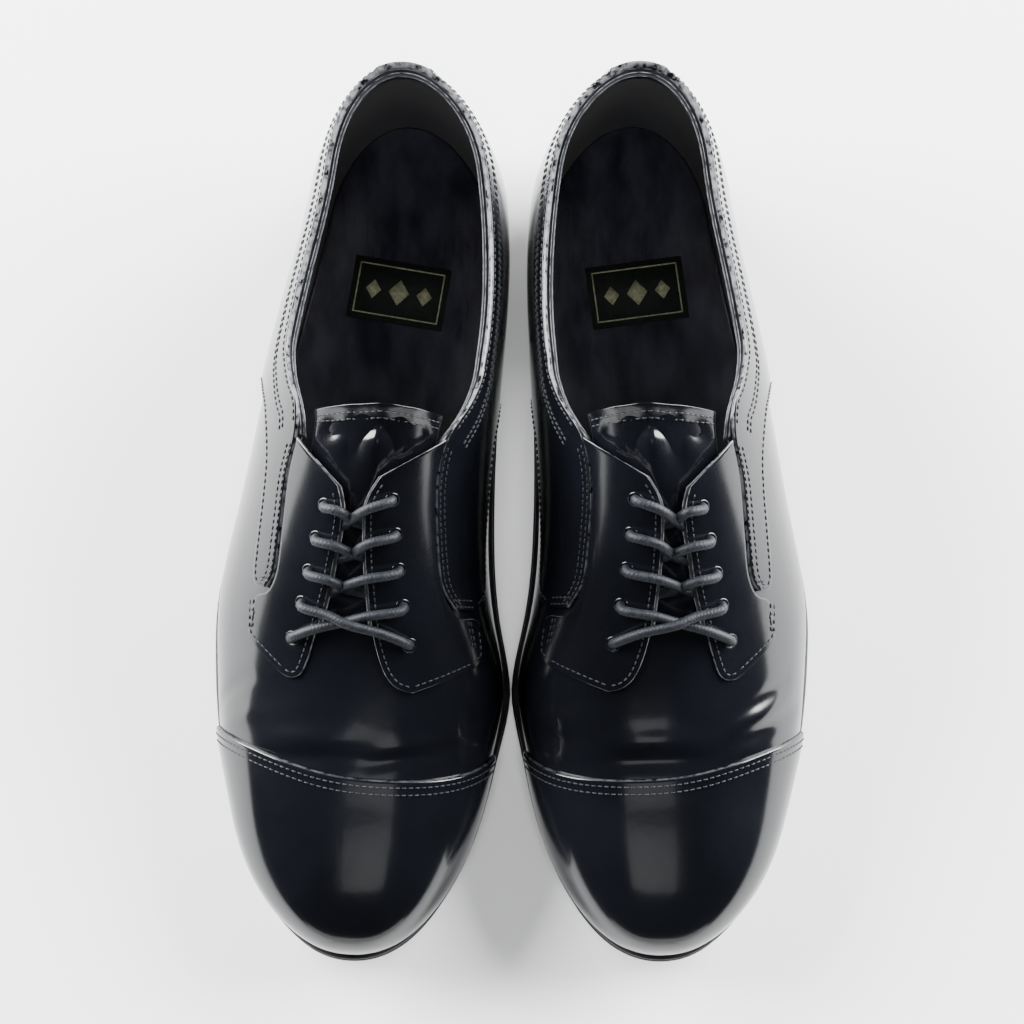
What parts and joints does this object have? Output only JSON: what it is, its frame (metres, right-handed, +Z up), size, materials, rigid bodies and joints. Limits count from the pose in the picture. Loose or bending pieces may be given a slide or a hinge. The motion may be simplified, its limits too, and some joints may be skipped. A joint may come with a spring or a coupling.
{
  "type": "laced tap shoes",
  "caption": "Pair of cap-toe derby tap shoes in gloss leather, with closed lacing, stacked heels and metal taps under toe and heel.",
  "frame": {"origin": "middle of the bounding box, on the floor", "axes": "+Z up (the shortest side of the box), heels towards +Y and toes towards -Y (the longest side), the wearer's left shoe on +X"},
  "size_m": [0.2096, 0.3022, 0.1088],
  "materials": {
    "leather": "black, mirror gloss",
    "lining": "black, matte",
    "stiffener": "hidden leatherboard, matte",
    "sole": "black, waxed edge",
    "heel": "stacked leather, black, waxed edge",
    "top_lift": "black, matte",
    "tap": "satin, worn bright",
    "steel": "plain",
    "insole": "natural, matte",
    "sock": "dark, half matte, fine grain",
    "label": "blank woven patch, dark green-black",
    "lace": "round waxed braid, charcoal"
  },
  "bodies": {
    "right_shoe": {"right_outsole": "sole", "right_welt": "sole", "right_heel_block": "heel", "right_top_lift": "top_lift", "right_heel_tap": "tap", "right_heel_tap_screw_1": "steel", "right_heel_tap_screw_2": "steel", "right_heel_tap_screw_3": "steel", "right_insole": "insole", "right_sock_liner": "sock", "right_sock_label": "label", "right_shank": "steel", "right_vamp": "leather", "right_vamp_lining": "lining", "right_quarter_lateral": "leather", "right_quarter_medial": "leather", "right_facing_lateral": "leather", "right_facing_medial": "leather", "right_quarter_lining": "lining", "right_heel_counter": "stiffener", "right_collar_binding": "leather", "right_backstay": "leather", "right_lace": "lace"},
    "right_toe": {"right_toe_cap": "leather", "right_toe_puff": "stiffener", "right_toe_tap": "tap", "right_toe_tap_screw_1": "steel", "right_toe_tap_screw_2": "steel", "right_toe_tap_screw_3": "steel"},
    "right_tongue": {"right_tongue": "leather"},
    "left_shoe": {"left_outsole": "sole", "left_welt": "sole", "left_heel_block": "heel", "left_top_lift": "top_lift", "left_heel_tap": "tap", "left_heel_tap_screw_1": "steel", "left_heel_tap_screw_2": "steel", "left_heel_tap_screw_3": "steel", "left_insole": "insole", "left_sock_liner": "sock", "left_sock_label": "label", "left_shank": "steel", "left_vamp": "leather", "left_vamp_lining": "lining", "left_quarter_lateral": "leather", "left_quarter_medial": "leather", "left_facing_lateral": "leather", "left_facing_medial": "leather", "left_quarter_lining": "lining", "left_heel_counter": "stiffener", "left_collar_binding": "leather", "left_backstay": "leather", "left_lace": "lace"},
    "left_toe": {"left_toe_cap": "leather", "left_toe_puff": "stiffener", "left_toe_tap": "tap", "left_toe_tap_screw_1": "steel", "left_toe_tap_screw_2": "steel", "left_toe_tap_screw_3": "steel"},
    "left_tongue": {"left_tongue": "leather"}
  },
  "joints": [
    {"name": "left_shoe_apart", "type": "slide", "parent": "right_shoe", "child": "left_shoe", "axis": [1, 0, 0], "range_m": [0, 0.12]},
    {"name": "right_toe_flex", "type": "hinge", "parent": "right_shoe", "child": "right_toe", "pos_m": [-0.05323, -0.06763, 0.005], "axis": [-0.9979, 0.0645, 0], "range_deg": [0, 25], "stiffness_Nm_per_rad": 8, "deforming": ["right_outsole", "right_welt", "right_insole", "right_sock_liner", "right_vamp", "right_vamp_lining"]},
    {"name": "right_tongue_dip", "type": "hinge", "parent": "right_shoe", "child": "right_tongue", "pos_m": [-0.0521, -0.0657, 0.056], "axis": [-0.9979, 0.0645, 0], "range_deg": [0, 12], "stiffness_Nm_per_rad": 0.4},
    {"name": "left_toe_flex", "type": "hinge", "parent": "left_shoe", "child": "left_toe", "pos_m": [0.052, -0.06789, 0.005], "axis": [-0.9996, -0.0279, 0], "range_deg": [0, 25], "stiffness_Nm_per_rad": 8, "deforming": ["left_outsole", "left_welt", "left_insole", "left_sock_liner", "left_vamp", "left_vamp_lining"]},
    {"name": "left_tongue_dip", "type": "hinge", "parent": "left_shoe", "child": "left_tongue", "pos_m": [0.05095, -0.06592, 0.056], "axis": [-0.9996, -0.0279, 0], "range_deg": [0, 12], "stiffness_Nm_per_rad": 0.4}
  ]
}
